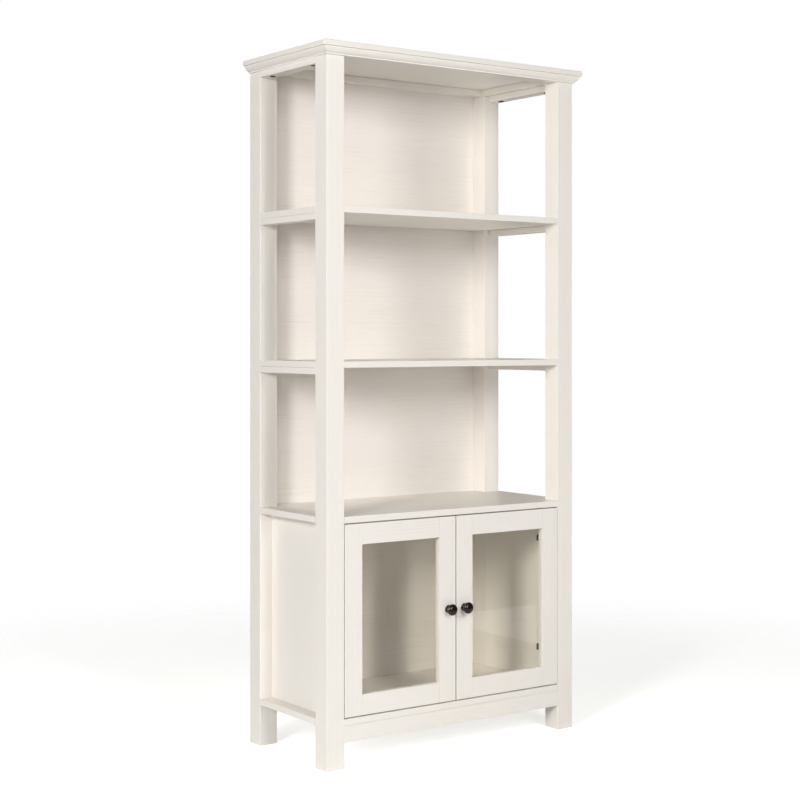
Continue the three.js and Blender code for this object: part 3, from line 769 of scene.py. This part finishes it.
HINGE_SCREW = 3.4 * MM  # radius of a head
HINGE_SCREW_HEIGHT = 1.3 * MM
CUP_SCREW_SPACING = 50 * MM
CUP_SEGMENTS = 64
CUP_FLANGE = 1.4 * MM  # thickness
CUP_WALL = 1.6 * MM
CUP_RIM = 2.0 * MM  # the flange past the cup's wall
CUP_FOOT_EDGE = 1 * MM
CUP_RIM_EDGE = 0.5 * MM
CUP_MOUTH_EDGE = 0.6 * MM
CUP_FLOOR_EDGE = 2 * MM
CUP_SCREW_SUNK = 0.3 * MM
EAR_HALF_WIDTH = 7 * MM
EAR_ROOT = 0.9 * MM  # past the cup's inside, under the rim
EAR_BELOW_RIM = 0.12 * MM
EAR_ROOT_STEP = 0.08  # radians
EAR_END_STEP = math.pi / 16
PLATE_SCREW_SPACING = 32 * MM
PLATE_SCREW_PLACE = 0.6  # as a share of the plate's length, from its front
ADJUSTER_RADIUS = 2.4 * MM
ADJUSTER_HEIGHT = 1.6 * MM
ADJUSTER_FROM_PLATE_FRONT = 22 * MM
ADJUSTER_FROM_ARM_REAR = 16 * MM
ARM_RECESS_FLOOR = 7.8 * MM  # from the plate's face to the floor of the arm's recesses
LINK_RADIUS = (24.5 * MM, 29 * MM)  # from the joint's axis, so that it turns past the door's edge
LINK_FROM = math.radians(127)
LINK_TO = math.radians(149)
LINK_HALF_WIDTH = 5.4 * MM
LINK_WALL = 1.4 * MM
LINK_STEPS = 28
KNUCKLE_RADIUS = 3.6 * MM
KNUCKLE_HALF_LENGTH = 7.6 * MM
KNUCKLE_EDGE = 0.4 * MM
KNUCKLE_SEGMENTS = 24
KNUCKLE_PAST_LINK = math.radians(2)


def add_cup(side, level, finishes):
    """The hinge's cup: a turned bowl with a rim, and an ear above and below for its screws."""
    node = f"hinge_cup_{side}_{level}"
    low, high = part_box(node)
    depth = high.y - low.y
    wall = (high.x - low.x) / 2 - CUP_RIM
    inside = wall - CUP_WALL
    rim = wall + CUP_RIM
    turn = facing(midway(low.x, high.x), low.y, midway(low.z, high.z), (0, 1, 0))
    outer = [
        (0, 0), (wall - CUP_FOOT_EDGE, 0), (wall, CUP_FOOT_EDGE),
        (wall, depth - CUP_FLANGE), (rim, depth - CUP_FLANGE),
    ]
    top_face = [(rim, depth - CUP_RIM_EDGE), (rim - CUP_RIM_EDGE, depth), (inside + CUP_MOUTH_EDGE, depth)]
    inner = [
        (inside, depth - CUP_MOUTH_EDGE), (inside, CUP_WALL + CUP_FLOOR_EDGE),
        (inside - CUP_FLOOR_EDGE, CUP_WALL), (0, CUP_WALL),
    ]
    shape = bmesh.new()
    lathe(shape, outer + top_face + inner, CUP_SEGMENTS, turn)
    # Each ear starts under the rim and ends in a half circle.
    root = inside + EAR_ROOT
    half_angle = math.asin(EAR_HALF_WIDTH / root)
    end_centre = (high.z - low.z) / 2 - EAR_HALF_WIDTH
    top, bottom = depth - EAR_BELOW_RIM, depth - CUP_FLANGE
    for up in (-1, 1):
        outline = [
            (root * math.sin(a), up * root * math.cos(a))
            for a in spread(-half_angle, half_angle, EAR_ROOT_STEP)
        ]
        outline += [
            (EAR_HALF_WIDTH * math.cos(a), up * (end_centre + EAR_HALF_WIDTH * math.sin(a)))
            for a in spread(0, math.pi, EAR_END_STEP)
        ]
        lower = [shape.verts.new(turn @ Vector((x, y, bottom))) for x, y in outline]
        upper = [shape.verts.new(turn @ Vector((x, y, top))) for x, y in outline]
        shape.faces.new(lower)
        shape.faces.new(upper)
        for i in range(len(outline)):
            shape.faces.new((lower[i - 1], lower[i], upper[i], upper[i - 1]))
    piece = new_piece(f"{node}_turned", shape, finishes["dark_steel"], f"door_{side}")
    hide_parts(node)


def add_hinge_screws(side, level, finishes):
    """Cross-head screws in the cup's ears and the plate's wings, and the two adjusters in the arm."""
    sign = SIDES[side]
    cup_low, cup_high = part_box(f"hinge_cup_{side}_{level}")
    plate_low, plate_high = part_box(f"hinge_plate_{side}_{level}")
    _, arm_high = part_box(f"hinge_arm_{side}_{level}")
    cup_x = midway(cup_low.x, cup_high.x)
    height = midway(cup_low.z, cup_high.z)
    cup_screws = bmesh.new()
    for up in (-1, 1):
        place = (cup_x, cup_high.y - CUP_SCREW_SUNK, height + up * CUP_SCREW_SPACING / 2)
        turn = facing(*place, (0, 1, 0))
        add_screw(cup_screws, turn, HINGE_SCREW, HINGE_SCREW_HEIGHT)
    zinc = finishes["zinc"]
    new_piece(f"hinge_cup_screws_{side}_{level}", cup_screws, zinc, f"door_{side}")

    plate_face = plate_low.x if sign > 0 else plate_high.x
    plate_screw_y = plate_low.y + PLATE_SCREW_PLACE * (plate_high.y - plate_low.y)
    plate_screws = bmesh.new()
    for up in (-1, 1):
        turn = facing(plate_face, plate_screw_y, height + up * PLATE_SCREW_SPACING / 2, (-sign, 0, 0))
        add_screw(plate_screws, turn, HINGE_SCREW, HINGE_SCREW_HEIGHT)
    # The adjusters stand in the arm's recesses, whose floors are a little under its crest.
    seat = plate_face - sign * ARM_RECESS_FLOOR
    for y in (plate_low.y + ADJUSTER_FROM_PLATE_FRONT, arm_high.y - ADJUSTER_FROM_ARM_REAR):
        turn = facing(seat, y, height, (-sign, 0, 0))
        add_screw(plate_screws, turn, ADJUSTER_RADIUS, ADJUSTER_HEIGHT)
    new_piece(f"hinge_plate_screws_{side}_{level}", plate_screws, zinc, "carcass")


def add_hinge_link(side, level, finishes):
    """The link between cup and arm, and the knuckle at its end."""
    sign = SIDES[side]
    joint = next(j for j in frame["joints"] if j["name"] == f"door_{side}_hinge")
    axis_x, axis_y, _ = joint["pos_m"]
    cup_low, cup_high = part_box(f"hinge_cup_{side}_{level}")
    height = midway(cup_low.z, cup_high.z)

    def around(angle, radius):
        return Vector((axis_x + sign * radius * math.cos(angle), axis_y + radius * math.sin(angle), 0))

    # The link is a channel: a web with two cheeks that point to the joint's axis.
    near, far = LINK_RADIUS
    wide, narrow = LINK_HALF_WIDTH, LINK_HALF_WIDTH - LINK_WALL
    web = far - LINK_WALL
    section = [
        (far, -wide), (far, wide), (near, wide), (near, narrow),
        (web, narrow), (web, -narrow), (near, -narrow), (near, -wide),
    ]
    link = bmesh.new()
    rings = []
    for angle in spread(LINK_FROM, LINK_TO, (LINK_TO - LINK_FROM) / LINK_STEPS):
        rings.append([link.verts.new(around(angle, r) + Vector((0, 0, height + z))) for r, z in section])
    for ring, following in zip(rings, rings[1:]):
        for i in range(len(section)):
            link.faces.new((ring[i - 1], ring[i], following[i], following[i - 1]))
    link.faces.new(rings[0])
    link.faces.new(rings[-1])
    piece = new_piece(f"hinge_link_{side}_{level}", link, finishes["dark_steel"])
    reach = midway(near, far)
    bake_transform(piece)

    half = KNUCKLE_HALF_LENGTH
    barrel = [(0, -half), (KNUCKLE_RADIUS - KNUCKLE_EDGE, -half), (KNUCKLE_RADIUS, KNUCKLE_EDGE - half)]
    barrel += [(radius, -along) for radius, along in reversed(barrel)]
    knuckle = bmesh.new()
    hub = around(LINK_TO + KNUCKLE_PAST_LINK, reach)
    lathe(knuckle, barrel, KNUCKLE_SEGMENTS, Matrix.Translation(hub + Vector((0, 0, height))))
    new_piece(f"hinge_knuckle_{side}_{level}", knuckle, finishes["zinc"], f"door_{side}")


# ---------------------------------------------------------------- assembly

add_camera()
light_studio()
light_back(add_floor())

FINISHES = {
    "backing": backing_foil(),
    "glass": float_glass(),
    "bronze": rubbed_bronze(),
    "zinc": plated_steel("zinc_plate", ZINC, ZINC_DULL, 0.26),
    "dark_steel": plated_steel("dark_plate", BLACK_NICKEL, BLACK_NICKEL_DULL, 0.30),
    "plastic": moulded_plastic(),
}

finish_wood()
finish_others(FINISHES)
for door_side in SIDES:
    add_knob(door_side, FINISHES)
    add_bead_pins(door_side, FINISHES)
    for hinge_level in LEVELS:
        add_cup(door_side, hinge_level, FINISHES)
        add_hinge_screws(door_side, hinge_level, FINISHES)
        add_hinge_link(door_side, hinge_level, FINISHES)
add_back_nails(FINISHES)
add_cam_caps(FINISHES)
add_bolt_caps(FINISHES)
add_catch_poles(FINISHES)

scene = bpy.context.scene
scene.view_settings.view_transform = "Standard"
